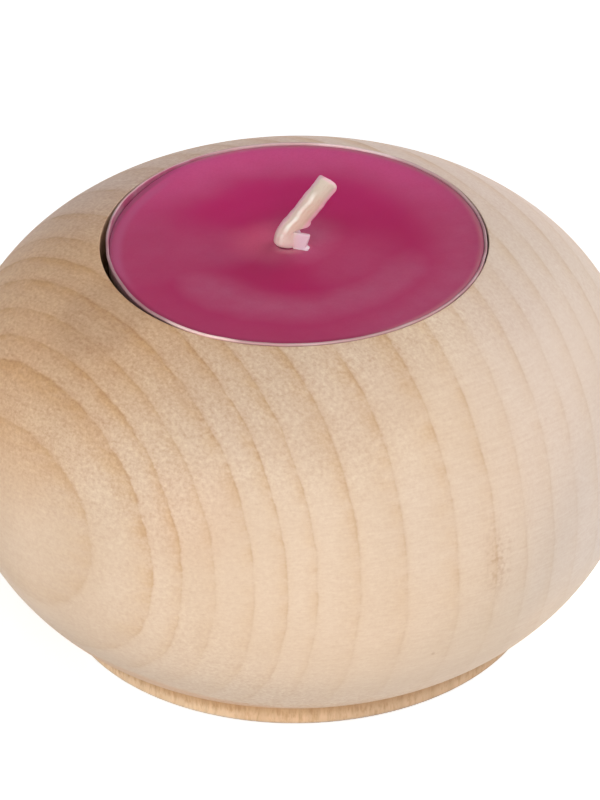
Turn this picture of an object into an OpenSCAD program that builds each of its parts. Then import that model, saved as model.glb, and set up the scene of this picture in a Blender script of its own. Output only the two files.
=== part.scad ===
// Round turned candle holder: a wooden body whose bored socket holds a loose tealight.
// Millimetres, +Z up. The origin is the centre of the face that the body stands on.

/* [Wooden body] */
// Largest diameter of the body
body_d = 72; // [66:0.5:90]
// Height of the widest point above the table
equator_z = 22; // [20.5:0.1:26]
// Radius of the arc from the widest point up to the crown
shoulder_r = 20.8; // [19:0.1:23]
// Radius of the arc from the widest point down to the foot
belly_r = 23.5; // [22:0.1:28]
// Radius of the flatter arc that runs on from the shoulder to the socket
crown_r = 30; // [24:0.5:45]
// Angle above level, seen from the shoulder's centre, at which that arc begins
crown_angle = 57; // [50:1:65]

/* [Foot] */
// Diameter of the foot
foot_d = 50; // [44:0.5:54]
// Height of the foot below the ball
foot_h = 2.2; // [1:0.1:4]
// Rounding of the foot's lower edge
foot_ease = 0.4; // [0.2:0.1:0.8]
// Diameter of the shallow hollow under the foot, inside the ring that it stands on
hollow_d = 40; // [30:0.5:43]
// Depth of that hollow at its middle
hollow_depth = 0.6; // [0.3:0.1:1.2]

/* [Socket] */
// Gap all round between the lip of the cup and the wall of the socket
socket_gap = 0.5; // [0.3:0.05:1.5]
// Rounding of the socket's mouth
mouth_ease = 0.18; // [0.1:0.02:1.2]
// How far the lip of the cup stands above the mouth
lip_proud = 0.2; // [0:0.1:3]
// Diameter of the mark that the drill's point leaves in the floor
spur_d = 3; // [1:0.5:6]
// Depth of that mark
spur_depth = 1.2; // [0.5:0.1:3]
// How far the loose cup has slid to one side, as a share of the gap
slip_share = 0.6; // [0:0.05:0.6]
// Direction in which it has slid, from +X
slip_angle = -55; // [-180:5:180]

/* [Tealight cup] */
// Diameter over the lip, the standard size of a tealight
cup_d = 38.7; // [37:0.1:40]
// Height of the cup
cup_h = 15; // [12:0.5:20]
// Width of the turned-out lip
lip_w = 0.1; // [0.1:0.05:0.8]
// Thickness of the pressed metal
cup_wall = 0.2; // [0.15:0.05:0.4]
// Diameter at the base, smaller than the mouth so that the wax can leave
cup_base_d = 37.2; // [35:0.1:37.6]
// Outer rounding between the base and the wall
cup_corner = 1.4; // [0.8:0.1:2.5]
// Diameter of the raised panel in the base
panel_d = 30; // [20:0.5:33]
// Height of the raised panel
panel_rise = 0.5; // [0.3:0.1:1.2]

/* [Wax] */
// Shrinkage gap between the wax and the cup
wax_gap = 0.08; // [0.08:0.02:0.4]
// How far the edge of the wax lies below the lip
wax_drop = 0.2; // [0.1:0.05:2]
// Depth of the dished top at its middle
wax_dish = 0.4; // [0.2:0.1:1.5]

/* [Wick] */
// Diameter of the wick
wick_d = 2.2; // [1.2:0.1:3]
// How far the wick stands off the candle's axis, away from its lean
wick_off = 0.75; // [0:0.05:2]
// How far it stands off the axis across its lean
wick_back = 0.65; // [-2:0.05:2]
// Height above the wax at which the wick starts to bend
stub_h = 0.8; // [0.2:0.1:3]
// Radius of the bend along the middle of the wick
bend_r = 1.6; // [1.6:0.1:6]
// Angle at which the wick then leans
wick_lean = 35; // [5:1:60]
// Height of the tip above the wax
tip_h = 7.3; // [6:0.1:14]
// Direction in which the wick leans, from +X
lean_angle = 0; // [-180:5:180]
// Diameter of the short cut tail beside the wick
tail_d = 1.7; // [1:0.1:2.5]
// Distance of the tail from the wick along its lean
tail_off = 1.3; // [1:0.1:2.5]
// Distance of the tail from the wick across its lean
tail_fore = 0.9; // [0:0.1:1.5]
// Height of the tail above the wax
tail_h = 1.9; // [0.5:0.1:2.5]
// Depth to which the tail runs into the wax
tail_in = 2; // [1:0.5:5]

/* [Wick sustainer] */
// Diameter of the disc
disc_d = 12.5; // [8:0.5:18]
// Thickness of the tinplate
tin_t = 0.3; // [0.2:0.05:0.5]
// Height of the neck above the disc
neck_h = 4; // [2:0.5:6]
// Radius where the neck flares into the disc
neck_flare = 0.9; // [0.4:0.1:1.5]
// Depth of the crimp that grips the wick
crimp_depth = 0.12; // [0.05:0.01:0.18]
// Gap between pieces that are cast or crimped together
cast_gap = 0.03; // [0.01:0.01:0.05]

/* [Hidden] */
$fn = 96;

body_r = body_d / 2;
foot_r = foot_d / 2;
socket_r = max(cup_d, cup_base_d) / 2 + socket_gap;

// Centres of the arcs of the body's outline; shoulder and belly have theirs at the widest point's height
shoulder_mid = body_r - shoulder_r;
belly_mid = body_r - belly_r;
crown_way = [cos(crown_angle), sin(crown_angle)];
crown_mid = [shoulder_mid, equator_z] - (crown_r - shoulder_r) * crown_way;

// Height of the sharp edge where the socket would meet the crown
mouth_z = crown_height(crown_r, socket_r);
floor_z = mouth_z - (cup_h - lip_proud);

// Centre of the mouth's rounding, which touches the socket's wall and the crown
ease_r = socket_r + mouth_ease;
ease_z = crown_height(crown_r - mouth_ease, ease_r);

// Inside of the cup
wall_top_r = cup_d / 2 - lip_w;
panel_r = panel_d / 2;
panel_top = panel_rise + cup_wall;

// Levels of the wax above the underside of the cup
wax_edge_z = cup_h - wax_drop;
wax_mid_z = wax_edge_z - wax_dish;

// Neck of the sustainer
neck_r = wick_d / 2 + cast_gap + tin_t;
crimp_r = 0.6;
crimp_z = panel_top + tin_t + neck_h - 2 * crimp_r;

// A margin that lets a cut run past the face that it opens
past = 1;

// Height at radius r on an arc about the crown's centre, flat inside that centre
function crown_height(arc_r, r) =
    crown_mid[1] + sqrt(arc_r * arc_r - pow(max(0, r - crown_mid[0]), 2));

// Radius of the circle through the edge and the middle of a shallow dish
function dish_radius(half_width, depth) =
    (half_width * half_width + depth * depth) / (2 * depth);

// Where the cup and all that it holds stand in the socket
module seated() {
    slip = slip_share * socket_gap;
    translate([slip * cos(slip_angle), slip * sin(slip_angle), floor_z])
        children();
}

// Where the foot of the wick stands in the cup, with +X turned the way that the wick leans
module at_wick() {
    rotate([0, 0, lean_angle])
        translate([-wick_off, wick_back, 0])
            children();
}

// Half section of the belly, from the widest point down
module belly_section() {
    intersection() {
        union() {
            translate([belly_mid, equator_z])
                circle(r = belly_r);
            translate([0, equator_z - belly_r])
                square([max(belly_mid, past), 2 * belly_r]);
        }
        translate([0, equator_z - belly_r])
            square([body_r, belly_r]);
    }
}

// Half section of the upper body: the shoulder, then the crown beyond the line through both centres
module upper_section() {
    centre = [shoulder_mid, equator_z];
    far = centre + 2 * body_r * crown_way;
    intersection() {
        translate(centre)
            circle(r = shoulder_r);
        polygon([centre, [2 * body_r, equator_z], [2 * body_r, far[1]], far]);
    }
    intersection() {
        translate(crown_mid)
            circle(r = crown_r);
        polygon([centre, far, [0, far[1]], [0, equator_z]]);
    }
}

// Corner that the rounding of the socket's mouth takes away
module mouth_corner() {
    centre = [ease_r, ease_z];
    touch = [max(0, ease_r - crown_mid[0]), ease_z - crown_mid[1]] / (crown_r - mouth_ease);
    difference() {
        polygon([
            [socket_r - past, ease_z],
            centre,
            centre + touch * mouth_ease,
            centre + touch * (mouth_ease + past),
            [socket_r - past, ease_z + mouth_ease + past]
        ]);
        translate(centre)
            circle(r = mouth_ease);
    }
}

// Corner that the rounding of the foot's lower edge takes away
module foot_corner() {
    difference() {
        translate([foot_r - foot_ease, -past])
            square([foot_ease + past, foot_ease + past]);
        translate([foot_r - foot_ease, foot_ease])
            circle(r = foot_ease);
    }
}

// Shallow dish, as a circle about the axis whose lowest or highest point is at z = 0
module dish(half_width, depth) {
    translate([0, dish_radius(half_width, depth)])
        circle(r = dish_radius(half_width, depth), $fn = 720);
}

// Socket with the mark of the drill's point in its floor
module socket_section() {
    translate([0, floor_z])
        square([socket_r, body_d]);
    polygon([
        [0, floor_z - spur_depth],
        [spur_d / 2, floor_z],
        [spur_d / 2, floor_z + past],
        [0, floor_z + past]
    ]);
}

module wood_body() {
    color([0.87, 0.76, 0.63])
    rotate_extrude()
    difference() {
        union() {
            upper_section();
            difference() {
                belly_section();
                translate([0, -body_r])
                    square([body_r, body_r + foot_h]);
            }
            square([foot_r, equator_z]);
        }
        socket_section();
        mouth_corner();
        foot_corner();
        translate([0, hollow_depth])
            mirror([0, 1])
                dish(hollow_d / 2, hollow_depth);
    }
}

// Half section of the space inside the cup's outer faces, drawn in by an inset
module cup_section(inset) {
    base_r = cup_base_d / 2 - inset;
    corner = cup_corner - inset;
    translate([0, inset])
        square([base_r - corner, cup_corner]);
    intersection() {
        translate([base_r - corner, cup_corner])
            circle(r = corner);
        square([base_r, cup_corner]);
    }
    polygon([
        [0, cup_corner],
        [base_r, cup_corner],
        [wall_top_r - inset, cup_h],
        [0, cup_h]
    ]);
}

module candle_cup() {
    color([0.84, 0.78, 0.79])
    seated()
        rotate_extrude()
        difference() {
            union() {
                cup_section(0);
                translate([0, cup_h - cup_wall])
                    square([cup_d / 2, cup_wall]);
            }
            difference() {
                union() {
                    cup_section(cup_wall);
                    translate([0, cup_h])
                        square([wall_top_r - cup_wall, past]);
                }
                square([panel_r + cup_wall, panel_top]);
            }
            translate([0, -past])
                square([panel_r, panel_rise + past]);
        }
}

module wax_fill() {
    color([0.64, 0.19, 0.37])
    seated()
        difference() {
            rotate_extrude()
            difference() {
                cup_section(cup_wall + wax_gap);
                translate([0, wax_mid_z])
                    dish(wall_top_r, wax_dish);
                square([panel_r + cup_wall + wax_gap, panel_top]);
            }
            sustainer_solid(cast_gap);
            wick_root(cast_gap);
        }
}

// The upright parts of the wick, grown all round where they are the space that the wax leaves
module wick_root(grow) {
    at_wick() {
        translate([0, 0, panel_top])
            cylinder(h = wax_mid_z + stub_h - panel_top, d = wick_d + 2 * grow);
        translate([tail_off, -tail_fore, wax_mid_z - tail_in - grow])
            cylinder(h = tail_in + tail_h + grow, d = tail_d + 2 * grow);
    }
}

// The bend and the leaning end of the wick, from the top of its upright part
module wick_end() {
    rise = tip_h - stub_h - bend_r * sin(wick_lean);
    at_wick()
        translate([bend_r, 0, wax_mid_z + stub_h]) {
            rotate([90, 0, 180])
                rotate_extrude(angle = -wick_lean)
                    translate([bend_r, 0])
                        circle(d = wick_d);
            rotate([0, wick_lean, 0])
                translate([-bend_r, 0, 0])
                    cylinder(h = rise / cos(wick_lean), d = wick_d);
        }
}

module wick() {
    color([0.87, 0.78, 0.69])
    seated() {
        wick_root(0);
        wick_end();
    }
}

// The sustainer without its bore, grown all round where it is the space that the wax leaves for it
module sustainer_solid(grow) {
    flare_r = neck_r + neck_flare;
    flare_z = tin_t + neck_flare;
    at_wick()
        translate([0, 0, panel_top])
        rotate_extrude()
        union() {
            square([disc_d / 2 + grow, tin_t + grow]);
            square([neck_r + grow, tin_t + neck_h + grow]);
            difference() {
                square([flare_r, flare_z]);
                translate([flare_r, flare_z])
                    circle(r = neck_flare - grow);
            }
        }
}

module wick_sustainer() {
    color([0.74, 0.74, 0.76])
    seated()
        difference() {
            sustainer_solid(0);
            at_wick() {
                translate([0, 0, panel_top - past])
                    cylinder(h = tin_t + neck_h + 2 * past, d = wick_d + 2 * cast_gap);
                for (side = [-1, 1])
                    translate([0, side * (neck_r + crimp_r - crimp_depth), crimp_z])
                        rotate([0, 90, 0])
                            cylinder(h = 4 * neck_r, r = crimp_r, center = true);
            }
        }
}

wood_body();
candle_cup();
wax_fill();
wick();
wick_sustainer();
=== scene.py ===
import math

import bpy
import numpy as np
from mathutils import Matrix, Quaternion, Vector


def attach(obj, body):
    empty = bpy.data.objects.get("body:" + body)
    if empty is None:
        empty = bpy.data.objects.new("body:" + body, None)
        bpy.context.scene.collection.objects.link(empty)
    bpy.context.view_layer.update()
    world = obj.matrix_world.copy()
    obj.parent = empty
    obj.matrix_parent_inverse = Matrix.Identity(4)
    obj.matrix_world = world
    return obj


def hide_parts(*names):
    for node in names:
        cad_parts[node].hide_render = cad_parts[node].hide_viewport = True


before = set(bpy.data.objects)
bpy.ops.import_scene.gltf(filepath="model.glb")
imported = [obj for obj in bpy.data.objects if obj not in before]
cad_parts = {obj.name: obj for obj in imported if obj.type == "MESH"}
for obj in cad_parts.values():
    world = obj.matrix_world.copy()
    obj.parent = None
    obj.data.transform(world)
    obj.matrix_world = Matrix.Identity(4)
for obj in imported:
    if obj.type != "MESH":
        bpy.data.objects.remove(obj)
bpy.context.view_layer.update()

# Sizes are in millimetres in the frame of the CAD model, and meshes are scaled to metres when made.
MM = 0.001

# Wooden body
BODY_R = 36.0
EQUATOR_Z = 22.0
SHOULDER_R = 20.8
CROWN_R = 30.0
CROWN_ANGLE = math.radians(57)
BELLY_R = 23.5
FOOT_R = 25.0
FOOT_H = 2.2
FOOT_EASE = 0.4
HOLLOW_R = 20.0
HOLLOW_DEPTH = 0.6
# Marks of the turning tool in the hollow under the foot
TOOL_MARK = 0.02
TOOL_PITCH = 1.6
SOCKET_R = 19.85
SOCKET_CORNER = 0.3
MOUTH_EASE = 0.1
SPUR_R = 1.5
SPUR_DEPTH = 1.2
WOOD_TURNS = 240
SHOULDER_MID = BODY_R - SHOULDER_R
CROWN_MID_R = SHOULDER_MID - (CROWN_R - SHOULDER_R) * math.cos(CROWN_ANGLE)
CROWN_MID_Z = EQUATOR_Z - (CROWN_R - SHOULDER_R) * math.sin(CROWN_ANGLE)
MOUTH_Z = CROWN_MID_Z + math.sqrt(CROWN_R ** 2 - (SOCKET_R - CROWN_MID_R) ** 2)

# Tealight cup, heights above its underside
CUP_H = 15.0
CUP_LIP_R = 19.35
CUP_LIP_PROUD = 0.2
CUP_WALL_R = 19.25
CUP_WALL = 0.2
CUP_BASE_R = 18.6
CUP_CORNER = 1.4
PANEL_R = 15.0
PANEL_RISE = 0.5
PANEL_BEND = 0.2
CUP_TURNS = 240
BEAD_R = (CUP_LIP_R - CUP_WALL_R + CUP_WALL) / 2
# The top of the wall is lifted, most at one angle, and it dips and ripples a little
LIP_BEND_H = 3.0
LIP_LIFT = 0.1
LIP_LIFT_ANGLE = math.radians(115)
LIP_DIP = 0.02
# Ripples: size, waves around and start
LIP_RIPPLES = ((0.02, 9, 0.7), (0.014, 23, 2.1), (0.012, 41, 0.0))
# The thin cup is a little out of round: radius of its lip about the socket's axis, by angle in degrees
LIP_REACH = (
    (-180, 19.08), (-160, 19.12), (-140, 19.5), (-120, 19.69), (-100, 19.56), (-80, 19.53), (-60, 19.62),
    (-40, 19.71), (-20, 19.75), (0, 19.61), (20, 19.48), (40, 19.38), (65, 19.3), (90, 19.33), (110, 19.42),
    (130, 19.48), (145, 19.48), (160, 19.36), (170, 19.2),
)
# The mouth has dried a little oval: its radius by angle in degrees, and how far from the edge that reaches
MOUTH_REACH = (
    (-180, 19.85), (-155, 19.84), (-120, 19.78), (-100, 19.66), (-80, 19.63), (-60, 19.72), (-40, 19.82),
    (-20, 19.86), (0, 19.91), (20, 19.82), (40, 19.69), (60, 19.66), (80, 19.65), (100, 19.8), (120, 19.92),
    (140, 19.97), (160, 19.84),
)
MOUTH_FADE = 4.0

# Where the loose cup stands
CUP_X = 0.172
CUP_Y = -0.246
CUP_Z = MOUTH_Z + CUP_LIP_PROUD - CUP_H
SOCKET_FLOOR_Z = CUP_Z

# Wax, heights above the underside of the cup
WAX_GAP = 0.055
WAX_CREEP = 0.07
WAX_CREEP_WIDTH = 0.45
WAX_EDGE_Z = 14.8
WAX_EDGE_EASE = 0.04
WAX_WALL_TOP = 13.2
WAX_DISH = 0.4
# A low swell in the dish: height, and place and width as shares of the radius
SWELL_H = 0.05
SWELL_PLACE = 0.66
SWELL_WIDTH = 0.1
WAX_R = CUP_WALL_R - CUP_WALL - WAX_GAP
WAX_MID_Z = CUP_Z + WAX_EDGE_Z - WAX_DISH
WAX_TURNS = 240
SHRUNK_ANGLE = math.radians(160)
SHRUNK_SPREAD = math.radians(26)
SHRUNK_DROP = 0.45
SHRUNK_GAP = 0.02
# Room that the wax leaves round the wick, and the pocket of the sustainer
BORE_GAP = 0.03
POCKET_DISC_R = 6.28
POCKET_DISC_H = 0.33
POCKET_NECK_R = 1.46
POCKET_NECK_H = 4.33

# Wick
WICK_R = 1.1
# Half width and half depth as shares of the radius, and how much narrower the wick gets upwards
WICK_WIDE = 1.14
WICK_DEEP = 0.93
WICK_TAPER = 0.1
WICK_TAPER_H = 4.0
# Heel at the left of the foot: how far it stands out, and how high it reaches
HEEL_OUT = 0.42
HEEL_H = 1.6
# Relief of the braid, and its turn along the wick
BRAID_RELIEF = 0.03
BRAID_TURN = 2.4
# Wax drawn up round the wick: height and width
WICK_CREEP = 0.14
WICK_CREEP_WIDTH = 0.5
WICK_VOXEL = 0.055
WICK_SMOOTHING = 2
WICK_X = CUP_X - 0.75
WICK_Y = CUP_Y + 0.65
STUB_H = 0.8
BEND_R = 1.6
WICK_LEAN = math.radians(35)
TIP_H = 7.5
# Slope of the cut at the tip, from the front of the wick down to its back
TIP_SLANT = 0.533
# Length at the tip that the rings of the cut take up
TIP_RUN = 1.4
# Bulge and notch of the fold on the wick's right: height above the wax, half height and depth
WICK_FOLD = ((2.4, 0.25, 0.16), (1.66, 0.34, -1.15))
# Below this depth in the wax the wick is a little thinner
BURIED_DEPTH = 1.0
BURIED_SHRINK = 0.02
# Flap, from the middle of the wick
FLAP_X = 1.37
FLAP_Y = -1.1
FLAP_H = 1.9
FLAP_BURIED = 1.5
FLAP_FOOT_R = 0.7
FLAP_SQUARENESS = 0.4
FLAP_TURN = math.radians(-20)

# Growth rings: cylinders about the pith, which lies outside the blank
PITH = (87.6, 64.1, 11.8)
FIBRE = Vector((-0.595, 0.788, -0.16)).normalized()
ACROSS = Vector((-0.838, -0.541, 0.068))
ACROSS = (ACROSS - FIBRE * ACROSS.dot(FIBRE)).normalized()
ALONG_RINGS = FIBRE.cross(ACROSS)
OUTER_RING = 145.9
RING_WIDTHS = (
    2.8, 2.8, 1.7, 2.0, 2.7, 2.5, 2.5, 3.8, 4.5, 5.3, 4.4, 3.9, 3.9, 3.6, 3.7,
    3.6, 3.8, 3.5, 3.7, 3.6, 3.5,
)

# Camera, from the outline, the rim and the foot of the photograph
CAMERA_DISTANCE = 754.0
CAMERA_ELEVATION = math.radians(33.139)
CAMERA_TARGET = Vector((0, 0, 22.12))
CAMERA_AIM_RIGHT = 0.385
CAMERA_AIM_UP = 1.108
CAMERA_ROLL = math.radians(-0.834)
CAMERA_LENS = 327.2

# Lamps, in metres
LAMP_TARGET = Vector((0, 0, 0.025))
SOFTBOX_DISTANCE = 1.7
SOFTBOX_SIZE = 1.3
# Name, azimuth from the camera's side to the right, elevation and power
SOFTBOXES = (
    ("front_softbox", 0, 15, 20.0),
    ("left_softbox", -45, 30, 6.8),
    ("right_softbox", 90, 12, 7.6),
    ("back_softbox", 125, 30, 13.2),
)
AMBIENT = 0.2

# Floor, a little below the foot so that no faces coincide
FLOOR_HALF = 2500
FLOOR_Z = -0.1
FLOOR_GLOW = 0.62


def arc(mid_r, mid_z, radius, start, end, steps):
    """Points of an arc in a half section, angles in degrees."""
    angles = np.radians(np.linspace(start, end, steps))
    return [(mid_r + radius * math.cos(a), mid_z + radius * math.sin(a)) for a in angles]


def line(start, end, steps):
    """Points of a straight stretch of a half section, without its first point."""
    share = np.linspace(0, 1, steps + 1)[1:]
    return [tuple(np.add(start, np.multiply(s, np.subtract(end, start)))) for s in share]


def make_object(name, verts, faces):
    mesh = bpy.data.meshes.new(name)
    mesh.from_pydata([tuple(v) for v in np.asarray(verts) * MM], [], faces)
    mesh.validate()
    mesh.shade_smooth()
    obj = bpy.data.objects.new(name, mesh)
    bpy.context.scene.collection.objects.link(obj)
    return obj


def strip_faces(rings):
    """Quads between rings of vertex numbers, and fans where a ring is a single point."""
    faces = []
    for low, high in zip(rings, rings[1:]):
        count = max(len(low), len(high))
        for i in range(count):
            j = (i + 1) % count
            if len(low) == 1:
                faces.append((low[0], high[j], high[i]))
            elif len(high) == 1:
                faces.append((low[i], low[j], high[0]))
            else:
                faces.append((low[i], low[j], high[j], high[i]))
    return faces


def revolve(profile, turns, shape):
    """Vertices and faces of a profile turned about the axis; shape(r, z, angle) gives the points."""
    angles = np.linspace(0, 2 * math.pi, turns, endpoint=False)
    verts, rings = [], []
    for r, z in profile:
        around = angles[:1] if r == 0 else angles
        points = np.stack(shape(np.full(len(around), r), np.full(len(around), z), around), axis=1)
        rings.append(list(range(len(verts), len(verts) + len(points))))
        verts.extend(points)
    return verts, strip_faces(rings)


def finish_piece(obj, material, body, slot, *nodes):
    obj.data.materials.append(material)
    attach(obj, body)
    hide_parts(*nodes)


class Nodes:
    """One procedural material; most methods add a node and return its output."""

    def __init__(self, name):
        self.material = bpy.data.materials.new(name)
        self.material.use_nodes = True
        self.tree = self.material.node_tree
        self.shader = self.tree.nodes["Principled BSDF"]

    def feed(self, socket, value):
        if isinstance(value, bpy.types.NodeSocket):
            self.tree.links.new(value, socket)
        else:
            socket.default_value = value

    def node(self, kind, **settings):
        made = self.tree.nodes.new("ShaderNode" + kind)
        for key, value in settings.items():
            setattr(made, key, value)
        return made

    def place(self):
        """The point on the surface in millimetres."""
        return self.vector("SCALE", self.node("TexCoord").outputs["Object"], scale=1 / MM)

    def facing(self):
        return self.node("NewGeometry").outputs["Normal"]

    def math(self, operation, a, b=0.0, c=0.0, clamp=False):
        made = self.node("Math", operation=operation, use_clamp=clamp)
        for socket, value in zip(made.inputs, (a, b, c)):
            self.feed(socket, value)
        return made.outputs[0]

    def plus(self, a, b):
        return self.math("ADD", a, b)

    def minus(self, a, b):
        return self.math("SUBTRACT", a, b)

    def times(self, *factors):
        product = factors[0]
        for factor in factors[1:]:
            product = self.math("MULTIPLY", product, factor)
        return product

    def times_plus(self, a, factor, addend):
        return self.math("MULTIPLY_ADD", a, factor, addend)

    def larger(self, a, b):
        return self.math("MAXIMUM", a, b)

    def absolute(self, a):
        return self.math("ABSOLUTE", a)

    def vector(self, operation, a, b=None, scale=None):
        made = self.node("VectorMath", operation=operation)
        self.feed(made.inputs[0], a)
        if b is not None:
            self.feed(made.inputs[1], b)
        if scale is not None:
            self.feed(made.inputs["Scale"], scale)
        scalar = operation in ("LENGTH", "DOT_PRODUCT", "DISTANCE")
        return made.outputs["Value" if scalar else "Vector"]

    def dot(self, a, b):
        return self.vector("DOT_PRODUCT", a, b)

    def length(self, a):
        return self.vector("LENGTH", a)

    def distance(self, a, b):
        return self.vector("DISTANCE", a, b)

    def join(self, x, y, z):
        made = self.node("CombineXYZ")
        for socket, value in zip(made.inputs, (x, y, z)):
            self.feed(socket, value)
        return made.outputs[0]

    def split(self, vector):
        made = self.node("SeparateXYZ")
        self.feed(made.inputs[0], vector)
        return made.outputs

    def noise(self, vector, scale, detail, roughness=0.5, colour=False):
        made = self.node("TexNoise")
        self.feed(made.inputs["Vector"], vector)
        made.inputs["Scale"].default_value = scale
        made.inputs["Detail"].default_value = detail
        made.inputs["Roughness"].default_value = roughness
        return made.outputs["Color" if colour else "Fac"]

    def remap(self, value, low, high, to_low=0.0, to_high=1.0):
        """A smooth step between two values, of which the first may be the larger one."""
        made = self.node("MapRange", interpolation_type="SMOOTHSTEP")
        self.feed(made.inputs["Value"], value)
        made.inputs["From Min"].default_value = low
        made.inputs["From Max"].default_value = high
        made.inputs["To Min"].default_value = to_low
        made.inputs["To Max"].default_value = to_high
        return made.outputs["Result"]

    def ramp(self, value, stops):
        made = self.node("ValToRGB")
        self.feed(made.inputs[0], value)
        elements = made.color_ramp.elements
        while len(elements) < len(stops):
            elements.new(1.0)
        for element, (position, level) in zip(elements, stops):
            element.position = position
            element.color = (level, level, level, 1)
        return made.outputs["Color"]

    def mix(self, share, a, b, blend="MIX"):
        made = self.node("Mix", data_type="RGBA", blend_type=blend, clamp_factor=True)
        self.feed(made.inputs["Factor"], share)
        for key, value in (("A", a), ("B", b)):
            socket = next(s for s in made.inputs if s.name == key and s.type == "RGBA")
            self.feed(socket, value if isinstance(value, bpy.types.NodeSocket) else (*value, 1))
        return next(s for s in made.outputs if s.type == "RGBA")

    def bump(self, height, distance, strength):
        made = self.node("Bump")
        self.feed(made.inputs["Height"], height)
        made.inputs["Distance"].default_value = distance
        made.inputs["Strength"].default_value = strength
        return made.outputs["Normal"]

    def set(self, **sockets):
        names = {
            "colour": "Base Color", "roughness": "Roughness", "metallic": "Metallic",
            "specular": "Specular IOR Level", "normal": "Normal", "subsurface": "Subsurface Weight",
            "subsurface_radius": "Subsurface Radius", "subsurface_scale": "Subsurface Scale",
        }
        for key, value in sockets.items():
            self.feed(self.shader.inputs[names[key]], value)
        return self.material


def ring_position(n, place, feather):
    """Growth rings passed since the bark side: a whole number lies on a ring line."""
    for scale, reach in ((0.07, 0.9), (0.4, 0.28)):
        wander = n.vector("SUBTRACT", n.noise(place, scale, 2.0, colour=True), (0.5, 0.5, 0.5))
        place = n.vector("ADD", place, n.vector("SCALE", wander, scale=reach))
    arm = n.vector("CROSS_PRODUCT", n.vector("SUBTRACT", place, PITH), FIBRE)
    depth = n.minus(OUTER_RING, n.length(arm))
    total = sum(RING_WIDTHS)
    curve = n.node("FloatCurve")
    n.feed(curve.inputs["Value"], n.math("DIVIDE", n.plus(depth, feather), total))
    points = curve.mapping.curves[0].points
    passed = 0.0
    for number, width in enumerate(RING_WIDTHS[:-1], start=1):
        passed += width
        points.new(passed / total, number / len(RING_WIDTHS))
    for point in points:
        point.handle_type = "VECTOR"
    curve.mapping.update()
    return n.times(curve.outputs[0], float(len(RING_WIDTHS)))


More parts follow.
